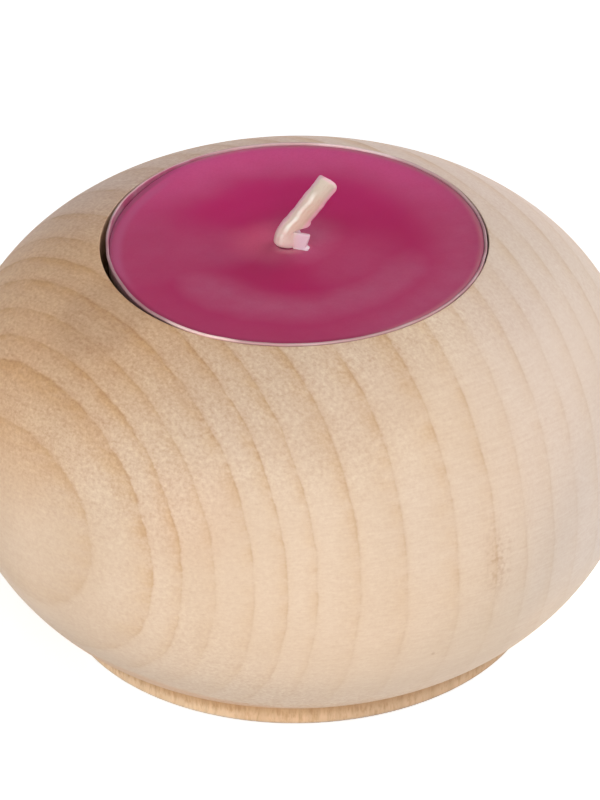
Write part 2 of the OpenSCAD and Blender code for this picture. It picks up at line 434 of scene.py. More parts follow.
def maple():
    """Pale sanded wood: ring lines, fibre and pores over tones that vary with the place, some of them
    painted shade and sheen.
    """
    n = Nodes("maple")
    place = n.place()
    to_right, _, height = n.split(place)
    along = n.dot(place, FIBRE)
    across = n.dot(place, ACROSS)
    beside = n.dot(place, ALONG_RINGS)

    def grain(stretch, scale, detail, roughness=0.6):
        """Noise about zero, stretched along the fibre, across the rings and along them."""
        ways = [n.times(way, s) for way, s in zip((along, across, beside), stretch)]
        return n.minus(n.noise(n.join(*ways), scale, detail, roughness), 0.5)

    # Where the surface runs along the rings and the fibre, and where it cuts the fibre
    end_grain = n.absolute(n.dot(n.facing(), FIBRE))
    flat_grain = n.remap(end_grain, 0.1, 0.8, 1.0, 0.0)
    end_grain = n.remap(end_grain, 0.55, 0.98)
    # Broad tones: painted shade on the upper left, painted sheen on the right, greyer at the low right, and
    # painted sheen on the far side, paler towards its right
    shaded_upper_left = n.remap(n.dot(place, (-0.6, 0.15, 0.79)), 29.0, 43.0)
    sheen_right = n.remap(n.dot(place, (0.95, 0.1, 0.25)), 18.0, 33.0)
    greyed = n.remap(n.dot(place, (0.75, -0.2, -0.6)), 2.0, 16.0)
    far_side_sheen = n.remap(n.dot(place, (0, 0.8, 0.6)), 24.0, 38.0)
    far_right = n.remap(to_right, -3.0, 10.0)

    def near(point, inner, outer):
        """A share that falls from 1 to 0 between two distances from a point."""
        return n.remap(n.distance(place, point), inner, outer, 1.0, 0.0)

    fibres = grain((0.09, 1.0, 1.0), 1.5, 3.0, 0.65)
    hairs = grain((0.16, 1.0, 1.0), 4.6, 2.0)
    rays = grain((0.8, 0.13, 1.6), 2.6, 2.0)
    pores = grain((1.0, 1.0, 1.0), 4.8, 2.0)
    specks = grain((0.8, 1.0, 1.0), 2.7, 2.0)
    blotches = grain((0.3, 0.8, 1.0), 0.55, 3.0)
    clouds = grain((1.0, 1.0, 1.0), 0.11, 3.0, 0.5)

    feather = n.times(fibres, n.times_plus(flat_grain, 0.1, 0.22))
    rings = ring_position(n, place, feather)
    phase = n.math("FRACT", rings)
    own = n.node("TexWhiteNoise", noise_dimensions="1D")
    n.feed(own.inputs["W"], n.math("FLOOR", n.plus(rings, 0.5)))
    ring_strength = n.times_plus(own.outputs["Value"], 0.55, 0.65)
    tan = n.ramp(phase, (
        (0.0, 0.6), (0.04, 0.25), (0.1, 0.1), (0.2, 0.03), (0.28, 0.0), (0.5, 0.1),
        (0.65, 0.3), (0.78, 0.52), (0.9, 0.75), (1.0, 0.95),
    ))
    edge = n.ramp(phase, (
        (0.0, 1.0), (0.025, 0.45), (0.055, 0.0), (0.86, 0.0), (0.94, 0.3), (0.985, 0.85), (1.0, 1.0),
    ))
    patchy = n.remap(blotches, -0.2, 0.2, 0.35, 1.25)
    fade = n.times(n.remap(height, 3.0, 38.0, 0.22, 1.2), n.remap(sheen_right, 0.2, 1.0, 1.0, 0.5))
    depth = n.times(ring_strength, patchy, fade, n.remap(flat_grain, 0.0, 0.4, 0.85, 1.0))

    colour = n.mix(n.remap(clouds, -0.2, 0.2), (0.78, 0.59, 0.43), (0.745, 0.555, 0.395))
    # Painted shade on the upper left, and painted sheen on the right and on the far side
    colour = n.mix(shaded_upper_left, colour, (0.73, 0.465, 0.275))
    colour = n.mix(sheen_right, colour, (0.72, 0.57, 0.465))
    colour = n.mix(far_side_sheen, colour, n.mix(far_right, (0.715, 0.51, 0.405), (0.80, 0.625, 0.53)))
    colour = n.mix(greyed, colour, (0.89, 0.95, 1.02), "MULTIPLY")
    # Painted shade on the lower belly: greyer downwards, and darker still towards the foot
    colour = n.mix(n.remap(height, 18.0, 6.0), colour, (0.71, 0.555, 0.42))
    colour = n.mix(n.remap(height, 13.0, 8.0), colour, (0.92, 0.92, 0.92), "MULTIPLY")
    left_end = n.remap(n.dot(place, (-1, 0, 0)), 23.0, 28.0)
    right_end = n.remap(n.dot(place, (0.9, 0, -0.43)), 14.0, 18.0)
    front_crown = n.remap(n.dot(place, (0, -0.45, 0.893)), 45.2, 46.4)
    # Smaller tones, each a share and a factor
    for share, tone in (
        (left_end, (1.07, 1.07, 1.07)),
        (right_end, (1.1, 1.09, 1.08)),
        (front_crown, (0.965, 0.95, 0.95)),
        (near((-19.3, -11.5, 41.3), 3.2, 7.0), (0.88, 0.87, 0.88)),
        (near((-25.5, -18.0, 35.0), 2.0, 8.0), (1.0, 1.03, 1.06)),
        (near((-10.9, -31.8, 31.2), 3.0, 8.0), (0.975, 0.935, 0.91)),
        (near((14.0, -31.5, 29.0), 3.0, 9.0), (1.01, 1.035, 1.08)),
        (near((20.0, -10.0, 41.3), 3.0, 8.0), (0.97, 0.955, 0.955)),
    ):
        colour = n.mix(share, colour, tone, "MULTIPLY")
    tan = n.times(tan, n.times(depth, n.times_plus(flat_grain, 0.3, 0.8)))
    colour = n.mix(tan, colour, (0.90, 0.80, 0.66), "MULTIPLY")
    edge = n.times(edge, n.times(depth, n.times_plus(flat_grain, -0.08, 0.36)))
    colour = n.mix(edge, colour, (0.74, 0.64, 0.56), "MULTIPLY")
    colour = n.mix(n.times(end_grain, 0.12), colour, (0.66, 0.50, 0.375))

    texture = n.times(rays, n.times_plus(flat_grain, -0.12, 0.24))
    # Each pattern has a weight all over, and more where the fibre lies in the surface
    for pattern, plain, on_flat in (
        (fibres, 0.05, 0.27), (hairs, 0.06, 0.3), (pores, 0.14, 0.32), (blotches, 0.04, 0.22),
    ):
        weight = n.times_plus(flat_grain, on_flat, plain)
        texture = n.times_plus(pattern, weight, texture)
    speckled = n.times(n.remap(height, 28.0, 37.0), n.remap(to_right, 24.0, 2.0, 0.0, 0.55))
    speckled = n.larger(speckled, n.remap(flat_grain, 0.0, 0.4, 0.16, 0.7))
    texture = n.times_plus(specks, speckled, texture)
    # The sanded grain shows less low on the left and on the far right of the crown
    smooth_left = n.times(n.remap(height, 34.0, 24.0), n.remap(to_right, 6.0, -24.0, 0.0, 0.6))
    smooth_crown = n.remap(n.dot(place, (0.6, 0.35, 0.72)), 32.0, 42.0, 0.0, 0.5)
    smooth = n.larger(smooth_left, smooth_crown)
    texture = n.times(texture, n.minus(1.0, smooth))
    tint = n.vector("ADD", n.vector("SCALE", (0.6, 1.0, 1.2), scale=texture), (1.0, 1.0, 1.0))
    colour = n.vector("MULTIPLY", colour, tint)

    # A rough patch at the right, and one small fleck
    torn = n.vector("MULTIPLY", n.vector("SUBTRACT", place, (19.9, -29.7, 23.2)), (0.9, 0.9, 0.35))
    torn = n.remap(n.length(torn), 0.3, 2.3, 1.0, 0.0)
    flecks = n.times(torn, n.remap(n.noise(place, 2.0, 1.0), 0.36, 0.74, 0.08, 0.62))
    fleck = n.remap(n.distance(place, (13.4, -31.6, 13.3)), 0.1, 0.3, 0.5, 0.0)
    colour = n.mix(n.larger(flecks, fleck), colour, (0.74, 0.62, 0.53), "MULTIPLY")

    # The tool tore the grain where the belly meets the foot
    streaks = n.noise(n.vector("MULTIPLY", place, (1.0, 1.0, 0.1)), 1.4, 4.0, 0.6)
    threads = n.noise(n.vector("MULTIPLY", place, (1.0, 1.0, 0.3)), 2.2, 3.0, 0.65)
    ragged = n.plus(n.minus(threads, 0.5), height)
    frayed = n.times_plus(n.minus(threads, 0.5), 12.0, height)
    from_axis = n.length(n.vector("MULTIPLY", place, (1, 1, 0)))
    not_below = n.remap(from_axis, FOOT_R - 0.7, FOOT_R - 0.3)
    frayed = n.times(n.remap(frayed, 5.6, 3.0, 0.0, 0.7), not_below)
    colour = n.mix(frayed, colour, (0.57, 0.385, 0.235))
    # At the left the tear runs further up the belly
    torn_level = n.times_plus(n.larger(to_right, -17.0), 0.22, ragged)
    torn_band = n.larger(n.remap(torn_level, 4.4, 3.2), n.remap(ragged, 5.0, 3.0, 0.0, 0.45))
    torn_band = n.times(torn_band, not_below)
    colour = n.mix(torn_band, colour, (0.97, 0.83, 0.70), "MULTIPLY")
    foot = n.remap(n.plus(height, n.times(fibres, 0.5)), FOOT_H + 0.1, FOOT_H - 0.1)
    foot = n.times(foot, not_below)
    # Painted shade darkens the top of the foot under the belly; its edge is ragged with the torn grain
    foot_colour = n.mix(n.remap(ragged, 0.6, FOOT_H - 0.2), (0.76, 0.53, 0.335), (0.53, 0.33, 0.175))
    # Painted shade on the eased lower edge of the foot, where it turns under
    foot_colour = n.mix(n.remap(height, 0.45, 0.1), foot_colour, (0.52, 0.43, 0.34))
    foot_colour = n.mix(n.remap(streaks, 0.35, 0.7), foot_colour, (0.88, 0.86, 0.82), "MULTIPLY")
    foot_colour = n.mix(n.remap(threads, 0.46, 0.66), foot_colour, (0.88, 0.82, 0.74), "MULTIPLY")
    foot_colour = n.mix(n.remap(to_right, -1.0, 9.0), foot_colour, (0.82, 0.82, 0.84), "MULTIPLY")
    pale_left = n.times(n.remap(to_right, -4.0, -11.0), n.remap(ragged, 1.5, 0.7))
    foot_colour = n.mix(pale_left, foot_colour, (1.1, 1.18, 1.25), "MULTIPLY")
    colour = n.mix(foot, colour, foot_colour)

    relief = n.plus(n.times(fibres, 0.6), n.times(pores, 0.5))
    roughness = n.remap(n.times_plus(end_grain, 0.15, pores), -0.2, 0.3, 0.48, 0.62)
    return n.set(
        colour=colour, roughness=roughness, specular=0.35, normal=n.bump(relief, 0.00003, 0.4),
    )


def pressed_aluminium():
    """Drawn sheet with spun marks, and a film of wax on the lip and on the wall below it, whose tones by
    angle are painted shade, reflection and glints.
    """
    n = Nodes("aluminium")
    place = n.place()
    x, y, z = n.split(n.vector("SUBTRACT", place, (CUP_X, CUP_Y, CUP_Z)))
    radius = n.length(n.join(x, y, 0.0))
    drawn = n.noise(n.join(x, y, n.times(z, 0.3)), 1.1, 3.0, 0.6)
    spun = n.noise(n.join(radius, 0.0, z), 5.0, 3.0, 0.6)
    smudge = n.noise(place, 0.3, 3.0)
    colour = n.mix(n.remap(smudge, 0.3, 0.7), (0.64, 0.635, 0.645), (0.57, 0.565, 0.58))
    side = n.vector("NORMALIZE", n.join(x, y, 0.0))
    toward_x, toward_y, _ = n.split(side)
    inside = n.remap(n.dot(n.facing(), side), -0.4, -0.85)
    film = n.remap(n.times_plus(inside, 2.0, z), CUP_H - 2.2, CUP_H - 0.3)
    film = n.times(film, n.remap(smudge, 0.3, 0.65, 0.8, 1.0))
    # Painted light on the film by angle: painted shade with a painted reflection of the wax on the inner
    # wall at the back left, darker sides, a paler back, and painted glints at the back right and the front
    # left
    shaded = n.times(inside, n.remap(n.dot(side, (-0.94, 0.34, 0)), 0.6, 0.85))
    at_sides = n.times(n.remap(n.absolute(toward_x), 0.55, 0.9), n.remap(toward_y, 0.5, 0.2))
    at_back = n.remap(n.dot(side, (0.1, 0.995, 0)), 0.5, 0.9)
    glint_back_right = n.remap(n.dot(side, (0.34, 0.94, 0)), 0.955, 0.99)
    glint_front_left = n.remap(n.dot(side, (-0.5, -0.866, 0)), 0.97, 0.995)
    lip_film_and_glints = n.mix(at_sides, (0.48, 0.265, 0.27), (0.34, 0.15, 0.17))
    lip_film_and_glints = n.mix(at_back, lip_film_and_glints, (0.56, 0.355, 0.35))
    lip_film_and_glints = n.mix(glint_back_right, lip_film_and_glints, (0.79, 0.6, 0.585))
    lip_film_and_glints = n.mix(glint_front_left, lip_film_and_glints, (0.9, 0.62, 0.58))
    colour = n.mix(film, colour, n.mix(shaded, lip_film_and_glints, (0.35, 0.055, 0.135)))
    colour = n.mix(n.remap(drawn, 0.4, 0.75, 0.0, 0.2), colour, (0.42, 0.36, 0.37))
    roughness = n.remap(n.plus(n.times(drawn, 0.5), n.times(spun, 0.5)), 0.3, 0.7, 0.26, 0.42)
    roughness = n.times_plus(film, 0.2, roughness)
    return n.set(
        colour=colour, roughness=roughness, metallic=n.remap(film, 0.0, 1.0, 1.0, 0.3),
        normal=n.bump(spun, 0.00002, 0.5),
    )


def magenta_wax():
    """Deep coloured wax, paler towards its edge, on the front swell and round the wick; on the swell and at
    the back edge the pale is painted sheen and reflection.
    """
    n = Nodes("magenta_wax")
    place = n.place()
    flat_place = n.vector("MULTIPLY", place, (1, 1, 0))
    flat = n.vector("MULTIPLY", n.vector("SUBTRACT", place, (CUP_X, CUP_Y, 0)), (1, 1, 0))
    from_wick = n.distance(flat_place, (WICK_X + 1.0, WICK_Y + 0.3, 0))
    wander = n.noise(place, 0.13, 2.0)
    radius = n.plus(n.length(flat), n.times_plus(wander, 4.0, -2.0))
    side = n.vector("NORMALIZE", flat)
    front = n.remap(n.dot(side, (0.1, -0.995, 0)), 0.0, 0.6)
    back = n.remap(n.dot(side, (-0.05, 0.999, 0)), 0.0, 1.0)
    left = n.remap(n.dot(side, (-1, 0, 0)), 0.75, 1.0)
    mottle = n.noise(place, 0.35, 4.0, 0.6)
    grain = n.noise(place, 4.0, 2.0)

    # Paler tones: painted sheen on the front swell, painted reflection towards the back edge, and paler wax
    # at the left, along the right edge and round the wick
    swell = n.remap(n.absolute(n.minus(radius, 12.4)), 0.3, 4.8, 0.66, 0.0)
    outer = n.remap(radius, 10.5, 18.5)
    pale = n.times(swell, front)
    outer_back = n.times(outer, back)
    pale = n.larger(pale, n.times(outer_back, 0.8))
    pale = n.larger(pale, n.times(left, 0.42))
    at_right = n.remap(n.dot(side, (0.85, 0.5, 0)), -0.6, 0.3, 0.25, 0.6)
    rim = n.times(n.remap(n.length(flat), 10.5, 18.0), at_right)
    pale = n.larger(pale, rim)
    right_of_wick = n.distance(flat_place, (CUP_X + 5.5, CUP_Y - 3.0, 0))
    pale = n.larger(pale, n.remap(right_of_wick, 1.0, 9.0, 0.38, 0.0))
    pale = n.larger(pale, n.remap(from_wick, 1.0, 7.0, 0.85, 0.0))
    pale = n.times(pale, n.remap(mottle, 0.25, 0.75, 0.75, 1.15))

    colour = n.mix(pale, (0.465, 0.009, 0.107), (0.53, 0.112, 0.22))
    behind_wick = n.times(n.remap(radius, 5.0, 10.0), back, n.remap(radius, 12.0, 15.0, 1.0, 0.0))
    colour = n.mix(behind_wick, colour, (0.525, 0.013, 0.135))
    # Painted reflection, brighter towards the back edge
    colour = n.mix(n.times(outer_back, 0.75), colour, (0.74, 0.085, 0.285))
    # Painted light where the wick's shadow falls, at its left
    lit_in_wick_shadow = n.distance(flat_place, (WICK_X - 2.4, WICK_Y + 0.2, 0))
    colour = n.mix(n.remap(lit_in_wick_shadow, 1.0, 5.0, 0.75, 0.0), colour, (0.65, 0.09, 0.19))
    foot = n.distance(n.vector("MULTIPLY", place, (1, 1.6, 0)), (WICK_X + 0.3, 1.6 * (WICK_Y - 1.0), 0))
    colour = n.mix(n.remap(foot, 0.9, 2.3, 0.9, 0.0), colour, (0.74, 0.22, 0.3))
    colour = n.mix(n.remap(grain, 0.35, 0.7, 0.0, 0.08), colour, (0.38, 0.012, 0.09))
    # The wax has shrunk away from the wall at the back left, in a crescent of painted shade with a pale
    # edge
    hollowed = n.remap(n.dot(side, (-0.94, 0.34, 0)), 0.82, 0.98)
    hollowed = n.times(hollowed, n.remap(n.split(place)[2], CUP_Z + 13.4, CUP_Z + 14.1))
    reach = n.times_plus(hollowed, 0.3, n.length(flat))
    pale_edge = n.remap(n.absolute(n.minus(reach, 18.55)), 0.1, 0.9, 0.6, 0.0)
    at_left = n.remap(n.dot(side, (-0.985, 0.17, 0)), 0.75, 0.95)
    colour = n.mix(n.times(pale_edge, at_left), colour, (0.55, 0.11, 0.25))
    colour = n.mix(n.times(n.remap(reach, 18.95, 19.25), hollowed), colour, (0.43, 0.085, 0.18))
    # Where the wax creeps up the wall, its edge takes painted shade from the lip at the front left, and
    # painted light elsewhere that lifts the shade of the groove
    creep = n.remap(n.dot(n.facing(), side), -0.065, -0.135)
    front_left = n.remap(n.dot(side, (-0.643, -0.766, 0)), 0.15, 0.6)
    creep_shade_and_light = n.mix(front_left, (0.62, 0.17, 0.235), (0.34, 0.013, 0.083))
    colour = n.mix(n.times(creep, 0.85), colour, creep_shade_and_light)
    roughness = n.remap(mottle, 0.3, 0.7, 0.32, 0.42)
    relief = n.plus(n.times(mottle, 0.8), n.times(grain, 0.12))
    return n.set(
        colour=colour, roughness=roughness, specular=0.07, subsurface=0.5,
        subsurface_radius=(1.0, 0.2, 0.4), subsurface_scale=0.003, normal=n.bump(relief, 0.0001, 0.3),
    )


def primed_cotton():
    """Cotton soaked in wax: pale strands, a ridge with a painted highlight, and a pink coat at the edges,
    tip and foot.
    """
    n = Nodes("primed_cotton")
    place = n.place()
    x, y, z = n.split(place)
    bend_z = WAX_MID_Z + STUB_H
    straight_x = WICK_X + BEND_R * (1 - math.cos(WICK_LEAN))
    straight_z = bend_z + BEND_R * math.sin(WICK_LEAN)
    right = (math.cos(WICK_LEAN), 0, -math.sin(WICK_LEAN))
    leaning = n.dot(n.vector("SUBTRACT", place, (straight_x, 0, straight_z)), right)
    standing = n.minus(x, WICK_X)
    bent = n.remap(z, bend_z, straight_z)
    across = n.plus(n.times(leaning, bent), n.times(standing, n.minus(1.0, bent)))
    out = n.minus(WICK_Y, y)
    # Across the wick, turned a little towards its front
    turned = n.plus(n.times(across, 0.938), n.times(out, 0.349))
    wave = n.times(n.math("SINE", n.times(z, 3.4)), 0.06)
    way = (math.sin(WICK_LEAN), TIP_SLANT, math.cos(WICK_LEAN))
    tip_z = WAX_MID_Z + TIP_H
    tip = (straight_x + (tip_z - straight_z) * math.tan(WICK_LEAN), WICK_Y, tip_z)
    below_tip = n.dot(n.vector("SUBTRACT", tip, place), way)

    strands = n.noise(n.join(n.times(across, 2.4), n.times(y, 2.4), n.times(z, 0.8)), 1.6, 3.0, 0.6)
    patches = n.noise(place, 0.8, 2.0)
    coat = n.remap(n.absolute(turned), 0.7, 1.04)
    coat = n.larger(coat, n.remap(below_tip, 0.5, 0.05))
    # Painted highlight along a low ridge down the front, which the bump also raises
    ridge_highlight = n.remap(n.absolute(n.plus(n.plus(turned, wave), 0.3)), 0.06, 0.34, 1.0, 0.0)
    ridge_highlight = n.times(ridge_highlight, n.remap(z, WAX_MID_Z + 0.2, WAX_MID_Z + 1.0))
    ridge_highlight = n.times(ridge_highlight, n.remap(z, WAX_MID_Z + 5.9, WAX_MID_Z + 6.9, 1.0, 0.0))
    ridge_highlight = n.times(ridge_highlight, n.remap(patches, 0.3, 0.6, 0.5, 1.0))
    soaked = n.remap(n.plus(z, n.times(patches, 0.8)), WAX_MID_Z + 0.5, WAX_MID_Z + 1.3, 1.0, 0.0)
    flap = n.times(n.remap(standing, 0.2, 1.3), n.remap(z, WAX_MID_Z + 1.9, WAX_MID_Z + 2.2, 1.0, 0.0))

    colour = n.mix(n.remap(turned, -0.55, 0.1), (0.71, 0.53, 0.46), (0.69, 0.51, 0.40))
    colour = n.mix(n.remap(z, WAX_MID_Z + 4.8, WAX_MID_Z + 7.0), colour, (0.68, 0.58, 0.47))
    colour = n.mix(n.remap(strands, 0.3, 0.7, 0.0, 0.3), colour, (0.78, 0.68, 0.54))
    colour = n.mix(ridge_highlight, colour, (1.0, 0.93, 0.82))
    colour = n.mix(n.times(coat, 0.9), colour, (0.88, 0.5, 0.58))
    colour = n.mix(n.remap(z, WAX_MID_Z + 2.6, WAX_MID_Z + 1.2, 0.0, 0.75), colour, (0.77, 0.605, 0.54))
    colour = n.mix(n.times(soaked, 0.4), colour, (0.78, 0.42, 0.47))
    colour = n.mix(n.times(flap, 0.85), colour, (0.74, 0.57, 0.64))
    roughness = n.remap(strands, 0.3, 0.7, 0.3, 0.45)
    return n.set(
        colour=colour, roughness=roughness, specular=0.45, subsurface=0.3,
        subsurface_radius=(1.0, 0.5, 0.55), subsurface_scale=0.0006,
        normal=n.bump(n.plus(strands, n.times(ridge_highlight, 1.2)), 0.0001, 0.7),
    )


def tinplate():
    """Rolled tinplate with a faint spangle."""
    n = Nodes("tinplate")
    place = n.place()
    spangle = n.node("TexVoronoi")
    n.feed(spangle.inputs["Vector"], place)
    spangle.inputs["Scale"].default_value = 0.9
    rolled = n.noise(n.vector("MULTIPLY", place, (0.15, 3.0, 3.0)), 2.5, 3.0, 0.6)
    colour = n.mix(spangle.outputs["Distance"], (0.66, 0.66, 0.68), (0.52, 0.52, 0.55))
    colour = n.mix(n.remap(rolled, 0.4, 0.75, 0.0, 0.3), colour, (0.42, 0.42, 0.45))
    return n.set(
        colour=colour, roughness=n.remap(rolled, 0.3, 0.7, 0.22, 0.4), metallic=1.0,
        normal=n.bump(rolled, 0.00003, 0.5),
    )


def build_wood(material):
    ease_r = SOCKET_R + MOUTH_EASE
    ease_z = CROWN_MID_Z + math.sqrt((CROWN_R - MOUTH_EASE) ** 2 - (ease_r - CROWN_MID_R) ** 2)
    ease_angle = math.degrees(math.atan2(ease_z - CROWN_MID_Z, ease_r - CROWN_MID_R))
    crown_start = math.degrees(CROWN_ANGLE)
    belly_mid = BODY_R - BELLY_R
    belly_end = -math.degrees(math.asin((EQUATOR_Z - FOOT_H) / BELLY_R))
    hollow_arc = (HOLLOW_R ** 2 + HOLLOW_DEPTH ** 2) / (2 * HOLLOW_DEPTH)

    profile = []
    for r in np.linspace(0, HOLLOW_R, 61):
        mark = TOOL_MARK * math.sin(2 * math.pi * r / TOOL_PITCH) if 0 < r < HOLLOW_R else 0
        profile.append((r, HOLLOW_DEPTH - hollow_arc + math.sqrt(hollow_arc ** 2 - r * r) + mark))
    profile += line(profile[-1], (FOOT_R - FOOT_EASE, 0), 6)
    profile += arc(FOOT_R - FOOT_EASE, FOOT_EASE, FOOT_EASE, -90, 0, 8)[1:]
    profile += line(profile[-1], (FOOT_R, FOOT_H), 6)
    profile += arc(belly_mid, EQUATOR_Z, BELLY_R, belly_end, 0, 52)
    profile += arc(SHOULDER_MID, EQUATOR_Z, SHOULDER_R, 0, crown_start, 48)[1:]
    profile += arc(CROWN_MID_R, CROWN_MID_Z, CROWN_R, crown_start, ease_angle, 20)[1:]
    profile += arc(ease_r, ease_z, MOUTH_EASE, ease_angle, 180, 10)[1:]
    corner_z = SOCKET_FLOOR_Z + SOCKET_CORNER
    profile += line(profile[-1], (SOCKET_R, corner_z), 12)
    profile += arc(SOCKET_R - SOCKET_CORNER, corner_z, SOCKET_CORNER, 0, -90, 6)[1:]
    profile += line(profile[-1], (SPUR_R, SOCKET_FLOOR_Z), 10)
    profile += line(profile[-1], (0, SOCKET_FLOOR_Z - SPUR_DEPTH), 4)

    turns, reach = zip(*MOUTH_REACH)

    def shape(r, z, angle):
        oval = np.interp(np.degrees(angle), turns, reach, period=360) - SOCKET_R
        near_mouth = np.clip(1 - np.hypot(r - SOCKET_R, z - MOUTH_Z) / MOUTH_FADE, 0, 1)
        r = r + oval * near_mouth * near_mouth * (3 - 2 * near_mouth)
        return r * np.cos(angle), r * np.sin(angle), z

    obj = make_object("wood_body_turned", *revolve(profile, WOOD_TURNS, shape))
    finish_piece(obj, material, "holder", "maple", "wood_body")


def cup_wall_r(z, inset):
    """Radius of the tapered wall of the cup at height z."""
    share = (z - CUP_CORNER) / (CUP_H - CUP_CORNER)
    return CUP_BASE_R + (CUP_WALL_R - CUP_BASE_R) * share - inset


def out_of_round(angle, z):
    """How far the wall of the cup stands out of its circle at an angle and a height."""
    turns, reach = zip(*LIP_REACH)
    reach = np.interp(np.degrees(angle), turns, reach, period=360)
    bead_mid = CUP_LIP_R - BEAD_R
    round_r = np.hypot(CUP_X + bead_mid * np.cos(angle), CUP_Y + bead_mid * np.sin(angle))
    return (reach - round_r) * np.clip(z / CUP_H, 0, 1) ** 2


def build_cup(material):
    bead_mid = CUP_LIP_R - BEAD_R
    panel_out = PANEL_R + CUP_WALL
    inner_corner = CUP_CORNER - CUP_WALL
    bend = PANEL_BEND
    outer = [(0, PANEL_RISE)]
    outer += line(outer[-1], (PANEL_R - bend, PANEL_RISE), 16)
    outer += arc(PANEL_R - bend, PANEL_RISE - bend, bend, 90, 0, 5)[1:]
    outer += arc(PANEL_R + bend, bend, bend, 180, 270, 5)
    outer += line(outer[-1], (CUP_BASE_R - CUP_CORNER, 0), 4)
    outer += arc(CUP_BASE_R - CUP_CORNER, CUP_CORNER, CUP_CORNER, -90, 0, 10)[1:]
    under_bead = CUP_H - 2 * BEAD_R
    outer += line(outer[-1], (cup_wall_r(under_bead, 0), under_bead), 24)
    outer += [(CUP_LIP_R, under_bead)]
    outer += arc(bead_mid, CUP_H - BEAD_R, BEAD_R, 0, 180, 13)
    inner = line(outer[-1], (cup_wall_r(CUP_CORNER, CUP_WALL), CUP_CORNER), 24)
    inner += arc(CUP_BASE_R - CUP_CORNER, CUP_CORNER, inner_corner, 0, -90, 10)[1:]
    inner += line(inner[-1], (panel_out + bend, CUP_WALL), 4)
    inner += arc(panel_out + bend, CUP_WALL + bend, bend, -90, -180, 5)[1:]
    inner += line(inner[-1], (panel_out, PANEL_RISE + CUP_WALL - bend), 2)
    inner += arc(panel_out - bend, PANEL_RISE + CUP_WALL - bend, bend, 0, 90, 5)[1:]
    inner += line(inner[-1], (0, PANEL_RISE + CUP_WALL), 16)

    def shape(r, z, angle):
        high = np.clip((z - (CUP_H - LIP_BEND_H)) / LIP_BEND_H, 0, 1) ** 2
        ripple = sum(size * np.sin(waves * angle + start) for size, waves, start in LIP_RIPPLES)
        r = r - high * np.abs(ripple) + out_of_round(angle, z)
        dip = LIP_DIP * (1 + np.sin(5 * angle + 1.0))
        lift = LIP_LIFT * (1 + np.cos(angle - LIP_LIFT_ANGLE))
        return CUP_X + r * np.cos(angle), CUP_Y + r * np.sin(angle), CUP_Z + z + high * (lift - dip) / 2

    obj = make_object("tealight_cup_pressed", *revolve(outer + inner, CUP_TURNS, shape))
    finish_piece(obj, material, "cup", "aluminium", "candle_cup")


def wax_top(x, y):
    """Height of the wax above the cup's underside and its share of shrinking, at a place from the axis."""
    r = np.hypot(x, y)
    angle = np.arctan2(y, x)
    share = np.clip(r / WAX_R, 0, 1)
    z = WAX_EDGE_Z - WAX_DISH * (1 - share ** 2)
    swell = np.exp(-((share - SWELL_PLACE) / SWELL_WIDTH) ** 2)
    z = z + SWELL_H * swell * (1 + 0.5 * np.sin(angle + 3.6))
    z = z + 0.015 * np.sin(3 * angle + 0.5) * share ** 2 + 0.01 * np.sin(7 * angle) * share ** 3
    wick_x, wick_y = WICK_X - CUP_X, WICK_Y - CUP_Y
    from_wick = np.hypot(x - wick_x, y - wick_y) - WICK_R
    from_flap = np.hypot(x - wick_x - FLAP_X, y - wick_y - FLAP_Y) - FLAP_FOOT_R
    away = np.maximum(np.minimum(from_wick, from_flap), 0)
    z = z + WICK_CREEP * np.exp(-away / WICK_CREEP_WIDTH)
    turn = np.angle(np.exp(1j * (angle - SHRUNK_ANGLE)))
    shrunk = np.exp(-(turn / SHRUNK_SPREAD) ** 2)
    z = z + WAX_CREEP * np.exp(-(1 - share) * WAX_R / WAX_CREEP_WIDTH) * (1 - shrunk)
    return z - SHRUNK_DROP * shrunk * share ** 8, shrunk


